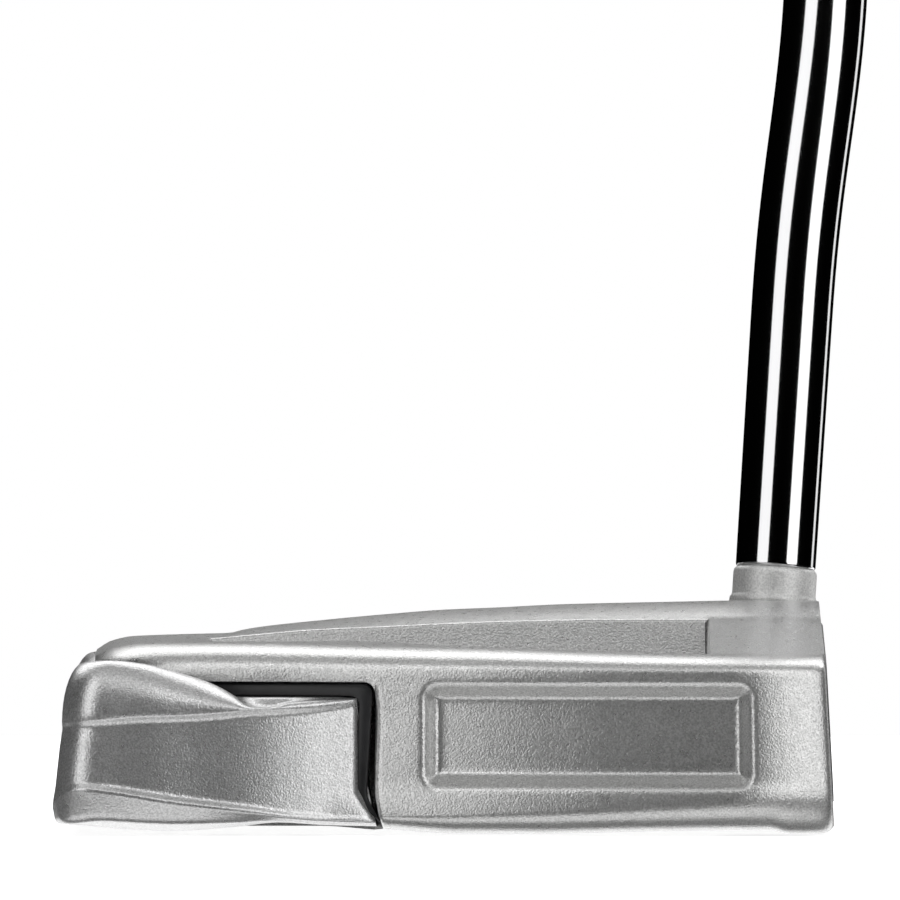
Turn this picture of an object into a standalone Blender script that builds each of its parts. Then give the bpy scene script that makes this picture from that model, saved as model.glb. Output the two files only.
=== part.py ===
"""Mallet putter: head, damped rear frame, sole weights, double-bend shaft and pistol grip.

Dimensions are in millimetres and become metres when a mesh is made. The frame has +X along the
putting line out of the face, +Y from toe to heel and +Z up. The origin is on the ground, on the flat
of the sole. Lengths along the head are given as a setback, measured rearward from the leading edge.
"""

import math

import bmesh
import bpy
from mathutils import Vector

MM = 0.001
GAP = 0.3

# Head
LEAD_EDGE_X = 39.0
FACE_LEAN = math.tan(math.radians(3.1))
FACE_LEAN_DEPTH = 14.0
BODY_DEPTH = 86.2
HEAD_DEPTH = 90.9
RAIL_WIDTH = 8.5
PLATEAU_HALF = 15.0
CORE_HALF = 36.0
SEAM_SETBACK = 53.6
SEAM_HEIGHT = 18.0
GASKET_THICK = 1.5
GASKET_LOW = 1.6
GASKET_REAR = 76.0
GASKET_SHY = 0.9
BRIDGE_SETBACK = 78.0
BRIDGE_TOP = 12.0
OVERSHOOT = 6.0

# Crown recesses and side pockets
RECESS_FRONT = 14.5
RECESS_REAR = 73.0
RECESS_FLOOR = 5.2
RECESS_CORNER = 2.0
POCKET_FRONT = 9.7
POCKET_REAR = 47.9
POCKET_LOW = 5.7
POCKET_HIGH = 17.6
POCKET_DRAFT = 1.6
POCKET_DEPTH = 2.4

# Face insert
INSERT_HALF = 33.0
INSERT_CREST_HALF = 9.0
INSERT_LOW = 3.6
INSERT_SHOULDER = 20.2
INSERT_HIGH = 24.2
INSERT_THICK = 4.2
INSERT_PROUD = 0.25
INSERT_CORNER = 5.0
SHOULDER_CORNER = 3.0
TAPE_THICK = 0.4
TAPE_MARGIN = 1.0

# Sole weights, their seals and the frame screws
WEIGHT_SETBACK = 8.4
WEIGHT_SIDE = 41.0
WEIGHT_HEAD_RADIUS = 5.6
WEIGHT_HEAD_THICK = 2.6
WEIGHT_SHANK_RADIUS = 4.0
WEIGHT_LENGTH = 9.0
WEIGHT_BASE = 1.2
SEAL_THICK = 0.8
SOCKET_RADIUS = 2.0
SOCKET_DEPTH = 2.2
SCREW_PLACES = ((62.0, 40.6), (71.0, 39.2))
SCREW_HEAD_RADIUS = 2.4
SCREW_HEAD_LOW = 5.0
SCREW_HEAD_HIGH = 7.6
SCREW_SHANK_RADIUS = 1.4
SCREW_TOP = 18.9

# Hosel, shaft and grip
HOSEL_SETBACK = 6.6
HOSEL_SIDE = 16.0
COLLAR_RADIUS = 4.9
COLLAR_BASE = 24.0
COLLAR_TOP = 30.5
POST_RADIUS = 2.9
POST_LENGTH = 26.0
EPOXY_INNER = 3.15
EPOXY_OUTER = 3.5
SHAFT_BORE = 3.8
TIP_RADIUS = 4.7
BUTT_RADIUS = 7.37
BUTT_BORE = 6.6
LIE_ANGLE = 70.0
PUTTER_LENGTH = 864.0
BUTT_HEIGHT = PUTTER_LENGTH * math.sin(math.radians(LIE_ANGLE))
TIP_LEAN_FORWARD = 3.7
BEND_LEAN_FORWARD = 7.9
TIP_LEAN_HEEL = 4.0
BEND_LOW = 58.0
BEND_MIDDLE = 81.0
BEND_HIGH = 112.0
GRIP_LENGTH = 266.0
GRIP_TAPE_THICK = 0.35
CAP_THICK = 3.0
BAND_LENGTH = 40.0
BAND_THICK = 0.4
BAND_BELOW_GRIP = 25.0

# Outlines against setback: only the points that the shapes need, joined by straight or eased runs
CROWN = ((0, 26.9), (21, 26.8), (39, 26.2), (60, 24.8), (68.5, 23.7), (70.5, 23.1), (82, 22.7),
         (BODY_DEPTH, 21.2))
PLATEAU_EDGE = ((0, 24.9), (25, 24.8), (39, 24.5), (54, 23.9), (68, 23.0), (74, 22.5),
                (BODY_DEPTH, 21.1))
RAIL_TOP = ((0, 21.0), (25, 21.3), (53, 22.0), (72, 22.4), (82, 22.3), (BODY_DEPTH, 20.9))
SOLE = ((INSERT_PROUD, 1.2), (1.0, 0.0), (6.5, 0.0), (7.2, 0.5), (21, 0.35), (33, 0.0), (45, 0.0), (53.6, 0.45),
        (64.8, 1.5), (70, 1.0), (79, 0.6), (88, 1.0), (HEAD_DEPTH, 2.8))
BODY_HALF_WIDTH = ((INSERT_PROUD, 51.6), (1.6, 52.3), (10, 52.6), (27, 52.4), (40, 50.6), (53.6, 47.4), (62, 45.2),
                   (70, 43.4), (78, 41.0), (83, 37.5), (BODY_DEPTH, 32.0))
WING_HALF_WIDTH = ((55.4, 46.6), (60, 47.6), (65, 49.8), (70, 52.2), (75, 53.8), (80, 54.4), (85, 53.6),
                   (88, 51.4), (90, 47.6), (HEAD_DEPTH, 44.0))
WING_TOP = ((55.4, 16.1), (66, 16.1), (70.2, 16.4), (73.6, 17.8), (78.1, 19.0), (82.8, 20.0),
            (86.6, 20.6), (88.7, 17.9), (89.5, 14.4), (HEAD_DEPTH, 8.0))
RECESS_SIDE = ((RECESS_FRONT, 44.0), (27, 43.9), (40, 42.1), (46, 39.6), (50, 35.8), (54, 33.4), (70, 32.8),
               (RECESS_REAR, 29.9))
SCOOP_HIGH = ((55.4, 15.8), (61.6, 15.0), (68, 14.7), (74.8, 14.2), (86.8, 13.5), (HEAD_DEPTH, 6.6))
SCOOP_LOW = ((55.4, 1.6), (63.6, 2.1), (77, 4.0), (84.6, 5.1), (HEAD_DEPTH, 5.2))
SCOOP_DEPTH = 1.6


def curve(points, where):
    """Height or width at a setback, read along straight runs between the outline's points."""
    for (x0, y0), (x1, y1) in zip(points, points[1:]):
        if where <= x1:
            return y0 + (y1 - y0) * max(where - x0, 0.0) / (x1 - x0)
    return points[-1][1]


def head_point(setback, side, height):
    """Point of the head, with the face leaning back by its loft over the first few millimetres."""
    lean = FACE_LEAN * max(0.0, 1.0 - setback / FACE_LEAN_DEPTH)
    return Vector((LEAD_EDGE_X - setback - lean * height, side, height))


def new_object(name, bm, material=None):
    bmesh.ops.recalc_face_normals(bm, faces=bm.faces)
    bmesh.ops.scale(bm, vec=(MM, MM, MM), verts=bm.verts)
    mesh = bpy.data.meshes.new(name)
    bm.to_mesh(mesh)
    bm.free()
    if material:
        mesh.materials.append(material)
    made = bpy.data.objects.new(name, mesh)
    bpy.context.collection.objects.link(made)
    return made


def add_rings(bm, rings, closed=False):
    """Skin a run of equal rings, capped at both ends or joined back to the first ring."""
    loops = [[bm.verts.new(point) for point in ring] for ring in rings]
    pairs = list(zip(loops, loops[1:]))
    if closed:
        pairs.append((loops[-1], loops[0]))
    else:
        bm.faces.new(loops[0])
        bm.faces.new(list(reversed(loops[-1])))
    for first, second in pairs:
        for i in range(len(first)):
            j = (i + 1) % len(first)
            bm.faces.new((first[i], first[j], second[j], second[i]))


def loft(name, rings, material=None, closed=False):
    bm = bmesh.new()
    add_rings(bm, rings, closed)
    return new_object(name, bm, material)


def shade_round(made, angle=35.0):
    made.data.shade_smooth()
    made.data.set_sharp_from_angle(angle=math.radians(angle))


def make_cutter(made):
    made.hide_render = True
    made.display_type = 'WIRE'
    return made


def cut(made, cutter):
    add_boolean(made, make_cutter(cutter), 'DIFFERENCE')


def join(made, extra):
    add_boolean(made, make_cutter(extra), 'UNION')


def add_boolean(made, other, operation):
    boolean = made.modifiers.new(other.name, 'BOOLEAN')
    boolean.operation = operation
    boolean.solver = 'EXACT'
    boolean.object = other


def make_material(name, colour, roughness, metallic):
    material = bpy.data.materials.new(name)
    material.use_nodes = True
    shader = material.node_tree.nodes['Principled BSDF']
    shader.inputs['Base Color'].default_value = (*colour, 1.0)
    shader.inputs['Roughness'].default_value = roughness
    shader.inputs['Metallic'].default_value = metallic
    return material


def mirrored(half):
    """Close a half outline, given from sole middle to crown middle, by its mirror image."""
    return half + [(-side, height) for side, height in reversed(half[1:-1])]


def body_ring(setback):
    wide = curve(BODY_HALF_WIDTH, setback)
    sole = curve(SOLE, setback)
    rail = curve(RAIL_TOP, setback)
    crown = curve(CROWN, setback)
    half = [(0, sole), (20, sole), (wide - 11, sole + 0.6), (wide - 4.6, sole + 1.8),
            (wide - 1.6, sole + 3.8), (wide, sole + 7.0), (wide, 15.0), (wide - 0.6, 17.8),
            (wide - 1.9, 19.6), (wide - 4.6, rail - 0.5), (wide - RAIL_WIDTH, rail),
            (PLATEAU_HALF, curve(PLATEAU_EDGE, setback)), (PLATEAU_HALF - 5, crown - 0.25), (0, crown)]
    return [head_point(setback, side, height) for side, height in mirrored(half)]


def make_body(material):
    stations = [INSERT_PROUD, 1.0, 1.8, 6.5, 7.2, 14, 21, 27, 33, 40, 45, 53.6, 60, 65, 68.5, 70.5, 74, 78, 82, 84.5,
                BODY_DEPTH]
    return loft('head_body', [body_ring(setback) for setback in stations], material)


def rounded_rectangle(low, high, radius, steps=4):
    """Corner-rounded rectangle in a plane, as two-value points, anticlockwise."""
    centres = ((high[0] - radius, high[1] - radius), (low[0] + radius, high[1] - radius),
               (low[0] + radius, low[1] + radius), (high[0] - radius, low[1] + radius))
    outline = []
    for quarter, (across, up) in enumerate(centres):
        for step in range(steps + 1):
            turn = math.radians(90.0 * (quarter + step / steps))
            outline.append((across + radius * math.cos(turn), up + radius * math.sin(turn)))
    return outline


def recess_cutter(name, sign):
    """Crown recess between the plateau and the rail."""
    outline = list(RECESS_SIDE)
    outline += [(RECESS_REAR, PLATEAU_HALF + RECESS_CORNER), (RECESS_REAR - RECESS_CORNER, PLATEAU_HALF),
                (RECESS_FRONT, PLATEAU_HALF)]
    rings = [[Vector((LEAD_EDGE_X - setback, sign * side, height)) for setback, side in outline]
             for height in (RECESS_FLOOR, COLLAR_TOP)]
    return loft(name, rings)


def pocket_cutter(name, sign):
    """Side pocket with sloping walls, sunk square to the side of the bar."""
    wide = max(side for setback, side in BODY_HALF_WIDTH)
    rings = []
    for depth, draft in ((-OVERSHOOT, 0.0), (0.0, 0.0), (POCKET_DEPTH, POCKET_DRAFT)):
        low = (POCKET_FRONT + draft, POCKET_LOW + draft)
        high = (POCKET_REAR - draft, POCKET_HIGH - draft)
        ring = []
        for setback, height in rounded_rectangle(low, high, 1.0, steps=2):
            follow = curve(BODY_HALF_WIDTH, setback) if depth >= 0 else wide
            ring.append(Vector((LEAD_EDGE_X - setback, sign * (follow - depth), height)))
        rings.append(ring)
    return loft(name, rings)


def insert_outline(grow):
    """Outline of the face insert, moved outward by a distance; its top falls away with the crown."""
    steps = 4
    half = INSERT_HALF + grow
    low = INSERT_LOW - grow
    shoulder = INSERT_SHOULDER + grow
    right = []
    for step in range(steps + 1):
        turn = math.radians(90.0 * step / steps)
        right.append((half - INSERT_CORNER * (1 - math.sin(turn)), low + INSERT_CORNER * (1 - math.cos(turn))))
    for step in range(steps + 1):
        turn = math.radians(80.0 * step / steps)
        right.append((half - SHOULDER_CORNER * (1 - math.cos(turn)),
                      shoulder - SHOULDER_CORNER * (1 - math.sin(turn))))
    right.append((INSERT_CREST_HALF, INSERT_HIGH + grow))
    return right + [(-side, height) for side, height in reversed(right)]


def face_slab(name, grow, front, back, material=None):
    """Slab of the insert's outline that lies parallel to the leaning face, between two depths."""
    rings = []
    for depth in (front, back):
        rings.append([Vector((LEAD_EDGE_X - depth - FACE_LEAN * height, side, height))
                      for side, height in insert_outline(grow)])
    return loft(name, rings, material)


def box(name, low, high, material=None):
    """Box between two corners, given as setback, side and height."""
    rings = []
    for setback in (low[0], high[0]):
        corners = ((low[1], low[2]), (high[1], low[2]), (high[1], high[2]), (low[1], high[2]))
        rings.append([Vector((LEAD_EDGE_X - setback, side, height)) for side, height in corners])
    return loft(name, rings, material)


def turned(name, profile, place, segments, material=None, direction=Vector((0, 0, 1))):
    """Turn a closed profile of radius and height about an axis through a place."""
    turn = Vector((0, 0, 1)).rotation_difference(direction).to_matrix()
    bm = bmesh.new()
    if min(radius for radius, height in profile) > 0.0:
        rings = [[place + turn @ Vector((radius * math.cos(angle), radius * math.sin(angle), height))
                  for radius, height in profile]
                 for angle in (math.tau * i / segments for i in range(segments))]
        add_rings(bm, rings, closed=True)
    else:
        rings = [[place + turn @ Vector((radius * math.cos(angle), radius * math.sin(angle), height))
                  for angle in (math.tau * i / segments for i in range(segments))]
                 for radius, height in profile if radius > 0.0]
        add_rings(bm, rings)
    return new_object(name, bm, material)


def shaft_leans(height):
    """Forward and heelward lean of the shaft's centre line, in degrees, at a height."""
    heel_lean = 90.0 - LIE_ANGLE
    rise = ease((height - BEND_LOW) / (BEND_MIDDLE - BEND_LOW))
    fall = ease((height - BEND_MIDDLE) / (BEND_HIGH - BEND_MIDDLE))
    forward = TIP_LEAN_FORWARD + (BEND_LEAN_FORWARD - TIP_LEAN_FORWARD) * rise - BEND_LEAN_FORWARD * fall
    over = ease((height - BEND_LOW) / (BEND_HIGH - BEND_LOW))
    return forward, TIP_LEAN_HEEL + (heel_lean - TIP_LEAN_HEEL) * over


def ease(share):
    share = min(max(share, 0.0), 1.0)
    return share * share * (3.0 - 2.0 * share)


def shaft_direction(height):
    forward, heel = (math.tan(math.radians(lean)) for lean in shaft_leans(height))
    return Vector((forward, heel, 1.0)).normalized()


def shaft_centre(height):
    """Centre of the shaft at a height, summed up its leaning line from the collar's top."""
    centre = Vector((LEAD_EDGE_X - HOSEL_SETBACK, HOSEL_SIDE, COLLAR_TOP))
    step = 0.5
    reached = COLLAR_TOP
    while reached < min(height, BEND_HIGH):
        rise = min(step, height - reached)
        direction = shaft_direction(reached + rise / 2)
        centre += direction * (rise / direction.z)
        reached += rise
    straight = shaft_direction(BEND_HIGH)
    return centre + straight * ((height - reached) / straight.z)


def shaft_radius(height):
    """Outer radius: a parallel tip, then a steady taper up to the butt."""
    share = (height - COLLAR_TOP) / (BUTT_HEIGHT - COLLAR_TOP)
    return TIP_RADIUS + (BUTT_RADIUS - TIP_RADIUS) * min(max(share, 0.0), 1.0)


def shaft_bore(height):
    share = (height - COLLAR_TOP) / (BUTT_HEIGHT - COLLAR_TOP)
    return SHAFT_BORE + (BUTT_BORE - SHAFT_BORE) * share


def sleeve_ring(height, outline):
    """Ring around the shaft's line at a height; the outline gives the offset at each angle."""
    centre = shaft_centre(height)
    direction = shaft_direction(height)
    across = Vector((0, 1, 0)).cross(direction).normalized()
    away = direction.cross(across).normalized()
    return [centre + across * side + away * rear for side, rear in outline]


def circle(radius, segments):
    return [(radius * math.cos(math.tau * i / segments), radius * math.sin(math.tau * i / segments))
            for i in range(segments)]


def tube(name, heights, outer, inner, material):
    """Open tube along the shaft's line; outer and inner give the outlines at a height."""
    rings = [sleeve_ring(height, outer(height)) for height in heights]
    rings += [sleeve_ring(height, inner(height)) for height in reversed(heights)]
    return loft(name, rings, material, closed=True)


def make_shaft(material):
    bend = [BEND_LOW + (BEND_HIGH - BEND_LOW) * i / 9 for i in range(10)]
    heights = [COLLAR_TOP + GAP] + bend + [300.0, BUTT_HEIGHT - CAP_THICK]
    segments = 20
    return tube('shaft', heights, lambda height: circle(shaft_radius(height), segments),
                lambda height: circle(shaft_bore(height), segments), material)


def straight_sleeve(name, low, high, clearance, thickness, material):
    segments = 20
    return tube(name, [low, high],
                lambda height: circle(shaft_radius(height) + clearance + thickness, segments),
                lambda height: circle(shaft_radius(height) + clearance, segments), material)


def grip_outline(height):
    """Pistol section: a flat on the toe side and a rounded palm side that swells near the top."""
    share = (height - (BUTT_HEIGHT - GRIP_LENGTH)) / GRIP_LENGTH
    half = 10.4 + 3.4 * share
    palm = 10.2 + 2.6 * share + 3.6 * ease((share - 0.45) / 0.35)
    flat = 9.8 + 1.4 * share
    outline = []
    for side, rear in circle(1.0, 24):
        outline.append((half * side, max(palm * rear, -flat * 1.02) if rear < 0 else palm * rear))
    return outline


def make_grip(material):
    low = BUTT_HEIGHT - GRIP_LENGTH
    heights = [low + GRIP_LENGTH * share for share in (0.0, 0.03, 0.25, 0.45, 0.57, 0.68, 0.8, 0.93, 1.0)]
    heights[-1] = BUTT_HEIGHT - CAP_THICK - GAP
    bore = GAP + GRIP_TAPE_THICK + GAP

    def outer(height):
        shrink = 0.82 if height == low else 1.0
        return [(side * shrink, rear * shrink) for side, rear in grip_outline(height)]

    return tube('grip', heights, outer, lambda height: circle(shaft_radius(height) + bore, 24), material)


def make_end_cap(material):
    low = BUTT_HEIGHT - CAP_THICK
    rings = []
    for height, shrink in ((low, 1.0), (low + 1.8, 0.98), (BUTT_HEIGHT, 0.88)):
        rings.append(sleeve_ring(height, [(side * shrink, rear * shrink)
                                          for side, rear in grip_outline(BUTT_HEIGHT)]))
    return loft('grip_end_cap', rings, material)


def wing_ring(setback):
    """Section of the rear frame: rolled underside, side scoop between two ridges, swelling top."""
    wide = curve(WING_HALF_WIDTH, setback)
    sole = curve(SOLE, setback)
    low = curve(SCOOP_LOW, setback)
    high = curve(SCOOP_HIGH, setback)
    top = curve(WING_TOP, setback)
    low = max(low, sole + 0.8)
    high = max(high, low + 0.8)
    top = max(top, high + 0.3)
    swell = 4.2
    half = [(0, sole), (wide - 10, sole), (wide - 3.5, sole + 0.3 * (low - sole)), (wide, low),
            (wide - SCOOP_DEPTH, (low + high) / 2), (wide - 0.5, high), (wide - 1.6, (high + top) / 2),
            (wide - swell, top), (wide - swell - 3.5, top), (0, top)]
    return [Vector((LEAD_EDGE_X - setback, side, height)) for side, height in mirrored(half)]


def plan_cutter(name, grow, stations, low, high):
    """Solid of the body's plan outline, grown sideways, between two heights."""
    rings = []
    for setback in stations:
        wide = curve(BODY_HALF_WIDTH, setback) + grow
        rings.append([Vector((LEAD_EDGE_X - setback, side, height))
                      for side, height in ((-wide, low), (wide, low), (wide, high), (-wide, high))])
    return loft(name, rings)


def make_frame(material):
    front = SEAM_SETBACK + GASKET_THICK + 2 * GAP
    stations = [front, 60, 65, 68, 70.2, 73.6, 78, 82.8, 85, 86.8, 88, 89.2, 90, HEAD_DEPTH]
    made = loft('rear_weight_frame', [wing_ring(setback) for setback in stations], material)
    cut(made, box('frame_core_gap', (front - OVERSHOOT, -CORE_HALF, -OVERSHOOT),
                  (BRIDGE_SETBACK, CORE_HALF, COLLAR_TOP)))
    deck = SEAM_HEIGHT - GASKET_THICK - 2 * GAP
    cut(made, plan_cutter('frame_deck_gap', 0.4, [front - 1.0, 62, 70, 78, 83, BODY_DEPTH + 0.4], deck,
                          COLLAR_TOP))
    cut(made, box('frame_bridge_gap', (BRIDGE_SETBACK - 1.0, -CORE_HALF, BRIDGE_TOP),
                  (HEAD_DEPTH + OVERSHOOT, CORE_HALF, COLLAR_TOP)))
    return made


def make_gasket(name, sign, material):
    """Damping strip: an upright band behind the bar and a flat band under the rail."""
    front = SEAM_SETBACK + GAP
    top = SEAM_HEIGHT - GAP
    deck = top - GASKET_THICK
    rear = front + GASKET_THICK
    rings = []
    for setback, low in ((front, GASKET_LOW), (rear, GASKET_LOW), (rear + 0.01, deck), (62, deck), (70, deck),
                         (GASKET_REAR, deck)):
        outer = curve(BODY_HALF_WIDTH, setback) - GASKET_SHY
        rings.append([Vector((LEAD_EDGE_X - setback, sign * side, height)) for side, height in
                      ((CORE_HALF, low), (outer, low), (outer, top), (CORE_HALF, top))])
    return loft(name, rings, material)


def weight_profile():
    """Sole weight, from its head's face up to the end of its shank."""
    return [(0.0, 0.0), (WEIGHT_HEAD_RADIUS - 0.4, 0.0), (WEIGHT_HEAD_RADIUS, 0.4),
            (WEIGHT_HEAD_RADIUS, WEIGHT_HEAD_THICK), (WEIGHT_SHANK_RADIUS, WEIGHT_HEAD_THICK),
            (WEIGHT_SHANK_RADIUS, WEIGHT_LENGTH), (0.0, WEIGHT_LENGTH)]


def make_sole_weight(tag, sign, body, weight_material, seal_material):
    base = Vector((LEAD_EDGE_X - WEIGHT_SETBACK, sign * WEIGHT_SIDE, WEIGHT_BASE))
    weight = turned('sole_weight_' + tag, weight_profile(), Vector((0, 0, 0)), 24, weight_material)
    weight.location = base * MM
    socket = turned('weight_socket_' + tag, [(0, -1.0), (SOCKET_RADIUS, -1.0), (SOCKET_RADIUS, SOCKET_DEPTH),
                                             (0, SOCKET_DEPTH)], base, 6)
    cut(weight, socket)
    shade_round(weight)
    seat = WEIGHT_HEAD_THICK + GAP
    seal = turned('weight_seal_' + tag,
                  [(WEIGHT_SHANK_RADIUS + GAP, seat), (WEIGHT_HEAD_RADIUS - 0.4, seat),
                   (WEIGHT_HEAD_RADIUS - 0.4, seat + SEAL_THICK),
                   (WEIGHT_SHANK_RADIUS + GAP, seat + SEAL_THICK)], Vector((0, 0, 0)), 24, seal_material)
    seal.location = base * MM
    shade_round(seal)
    shoulder = seat + SEAL_THICK + GAP
    end = WEIGHT_LENGTH + 2 * GAP
    cut(body, turned('weight_bore_' + tag,
                     [(0, -OVERSHOOT), (WEIGHT_HEAD_RADIUS + GAP, -OVERSHOOT),
                      (WEIGHT_HEAD_RADIUS + GAP, shoulder), (WEIGHT_SHANK_RADIUS + GAP, shoulder),
                      (WEIGHT_SHANK_RADIUS + GAP, end), (0, end)], base, 24))


def make_frame_screw(number, setback, side, body, frame, gasket, material):
    place = Vector((LEAD_EDGE_X - setback, side, 0.0))
    head = turned('frame_screw_%d' % number,
                  [(0, SCREW_HEAD_LOW), (SCREW_HEAD_RADIUS, SCREW_HEAD_LOW),
                   (SCREW_HEAD_RADIUS, SCREW_HEAD_HIGH), (SCREW_SHANK_RADIUS, SCREW_HEAD_HIGH),
                   (SCREW_SHANK_RADIUS, SCREW_TOP), (0, SCREW_TOP)], place, 12, material)
    cut(head, turned('screw_socket_%d' % number, [(0, SCREW_HEAD_LOW - 1.0), (1.1, SCREW_HEAD_LOW - 1.0),
                                                  (1.1, SCREW_HEAD_LOW + 1.4), (0, SCREW_HEAD_LOW + 1.4)],
                     place, 6))
    shade_round(head)
    top = SCREW_TOP + GAP
    shank = SCREW_SHANK_RADIUS + GAP
    wide = SCREW_HEAD_RADIUS + GAP
    cut(frame, turned('frame_bore_%d' % number,
                      [(0, -OVERSHOOT), (wide, -OVERSHOOT), (wide, SCREW_HEAD_HIGH + GAP),
                       (shank, SCREW_HEAD_HIGH + GAP), (shank, top), (0, top)], place, 12))
    rail_bore = turned('rail_bore_%d' % number, [(0, BRIDGE_TOP), (shank, BRIDGE_TOP), (shank, top),
                                                 (0, top)], place, 12)
    cut(body, rail_bore)
    cut(gasket, rail_bore)


def make_sight_line(body, material):
    """Aiming line let into the plateau's crown, which it follows."""
    half = 0.9
    places = (20.0, 30.0, 39.0, 50.0, 60.0)

    def strip(name, side, low, high, reach, used=None):
        rings = []
        for index, setback in enumerate(places):
            end = reach * ((index == len(places) - 1) - (index == 0))
            crown = curve(CROWN, setback)
            rings.append([Vector((LEAD_EDGE_X - setback - end, y, crown + z))
                          for y, z in ((-side, low), (side, low), (side, high), (-side, high))])
        return loft(name, rings, used)

    cut(body, strip('sight_line_groove', half + GAP, -1.0, OVERSHOOT, GAP))
    return strip('sight_line', half, -1.0 + GAP, -0.08, 0.0, material)


def make_materials():
    return {
        'satin': make_material('satin_silver', (0.62, 0.62, 0.61), 0.38, 0.9),
        'steel': make_material('satin_steel', (0.60, 0.60, 0.60), 0.36, 0.95),
        'gasket': make_material('black_polyurethane', (0.01, 0.01, 0.01), 0.45, 0.0),
        'insert': make_material('face_elastomer', (0.03, 0.03, 0.035), 0.5, 0.0),
        'tape': make_material('adhesive', (0.75, 0.72, 0.6), 0.7, 0.0),
        'screw': make_material('screw_steel', (0.35, 0.35, 0.36), 0.3, 1.0),
        'seal': make_material('nylon_seal', (0.05, 0.05, 0.05), 0.5, 0.0),
        'paint': make_material('sight_line_paint', (0.02, 0.02, 0.02), 0.4, 0.0),
        'shaft': make_material('gloss_black_shaft', (0.01, 0.01, 0.01), 0.08, 0.0),
        'band': make_material('band_film', (0.35, 0.35, 0.36), 0.3, 0.6),
        'grip': make_material('grip_rubber', (0.02, 0.02, 0.02), 0.7, 0.0),
    }


def add_hosel(body):
    """Collar that the shaft butts on, and the post that stands inside the shaft."""
    foot = shaft_centre(COLLAR_TOP)
    direction = shaft_direction(COLLAR_TOP)
    sunk = COLLAR_BASE - COLLAR_TOP
    join(body, turned('hosel', [(0, sunk), (COLLAR_RADIUS, sunk), (COLLAR_RADIUS, -0.6),
                                (COLLAR_RADIUS - 0.6, 0), (POST_RADIUS, 0), (POST_RADIUS, POST_LENGTH),
                                (0, POST_LENGTH)], foot, 24, direction=direction))


def make_epoxy(material):
    return turned('shaft_epoxy', [(EPOXY_INNER, 1.0), (EPOXY_OUTER, 1.0), (EPOXY_OUTER, POST_LENGTH - 1.0),
                                  (EPOXY_INNER, POST_LENGTH - 1.0)], shaft_centre(COLLAR_TOP), 20, material,
                  shaft_direction(COLLAR_TOP))


def main():
    for old in list(bpy.data.objects):
        bpy.data.objects.remove(old, do_unlink=True)
    finish = make_materials()

    body = make_body(finish['satin'])
    frame = make_frame(finish['steel'])
    add_hosel(body)

    tape_front = INSERT_THICK + GAP
    tape_back = tape_front + TAPE_THICK
    cut(body, face_slab('face_cavity', GAP, -OVERSHOOT, tape_back + GAP))
    face_slab('face_insert', 0.0, 0.0, INSERT_THICK, finish['insert'])
    face_slab('insert_tape', -TAPE_MARGIN, tape_front, tape_back, finish['tape'])

    number = 0
    for tag, sign in (('toe', -1.0), ('heel', 1.0)):
        cut(body, recess_cutter('crown_recess_' + tag, sign))
        cut(body, pocket_cutter('side_pocket_' + tag, sign))
        outer = sorted((sign * CORE_HALF - sign * GAP, sign * (COLLAR_TOP + CORE_HALF)))
        cut(body, box('wing_space_' + tag, (SEAM_SETBACK, outer[0], -OVERSHOOT),
                      (HEAD_DEPTH, outer[1], SEAM_HEIGHT)))
        gasket = make_gasket('damping_gasket_' + tag, sign, finish['gasket'])
        make_sole_weight(tag, sign, body, finish['screw'], finish['seal'])
        for setback, side in SCREW_PLACES:
            number += 1
            make_frame_screw(number, setback, sign * side, body, frame, gasket, finish['screw'])
    cut(body, box('bridge_space', (BRIDGE_SETBACK - GAP, -CORE_HALF - GAP, -OVERSHOOT),
                  (HEAD_DEPTH, CORE_HALF + GAP, BRIDGE_TOP + GAP)))

    make_sight_line(body, finish['paint'])
    shade_round(make_shaft(finish['shaft']))
    shade_round(make_epoxy(finish['tape']))
    grip_low = BUTT_HEIGHT - GRIP_LENGTH
    band_high = grip_low - BAND_BELOW_GRIP
    shade_round(straight_sleeve('shaft_band', band_high - BAND_LENGTH, band_high, GAP, BAND_THICK,
                                finish['band']))
    shade_round(straight_sleeve('grip_tape', grip_low + 4.0, BUTT_HEIGHT - CAP_THICK - 2 * GAP, GAP,
                                GRIP_TAPE_THICK, finish['tape']))
    shade_round(make_grip(finish['grip']))
    shade_round(make_end_cap(finish['grip']))
    shade_round(body, 30.0)
    shade_round(frame, 30.0)


main()
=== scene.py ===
"""Looks of the mallet putter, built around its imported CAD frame.

Shapes are worked out in millimetres in the club's own frame: +X out of the face, +Y towards the heel
and +Z up. A setback is a distance behind the leading edge.
"""

import math

import bmesh
import bpy
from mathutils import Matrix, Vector


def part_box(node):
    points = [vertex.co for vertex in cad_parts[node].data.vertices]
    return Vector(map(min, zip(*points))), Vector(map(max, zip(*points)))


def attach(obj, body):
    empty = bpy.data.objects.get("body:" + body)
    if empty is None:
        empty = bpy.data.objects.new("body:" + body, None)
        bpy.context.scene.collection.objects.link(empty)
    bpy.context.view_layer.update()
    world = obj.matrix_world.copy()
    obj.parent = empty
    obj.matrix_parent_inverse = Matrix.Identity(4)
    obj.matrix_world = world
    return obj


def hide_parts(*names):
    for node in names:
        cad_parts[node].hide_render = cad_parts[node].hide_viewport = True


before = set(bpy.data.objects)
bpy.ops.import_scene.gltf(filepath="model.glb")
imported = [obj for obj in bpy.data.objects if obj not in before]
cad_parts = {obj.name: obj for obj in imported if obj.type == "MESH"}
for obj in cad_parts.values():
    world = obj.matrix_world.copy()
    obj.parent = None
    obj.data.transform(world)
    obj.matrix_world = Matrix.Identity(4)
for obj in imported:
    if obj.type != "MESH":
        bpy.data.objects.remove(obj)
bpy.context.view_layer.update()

MM = 0.001
BODY_DEPTH = 86.2
HEAD_DEPTH = 90.9
LEAD_EDGE_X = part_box("rear_weight_frame")[0][0] / MM + HEAD_DEPTH
FACE_LEAN = math.tan(math.radians(3.1))
FACE_LEAN_DEPTH = 14.0

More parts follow.
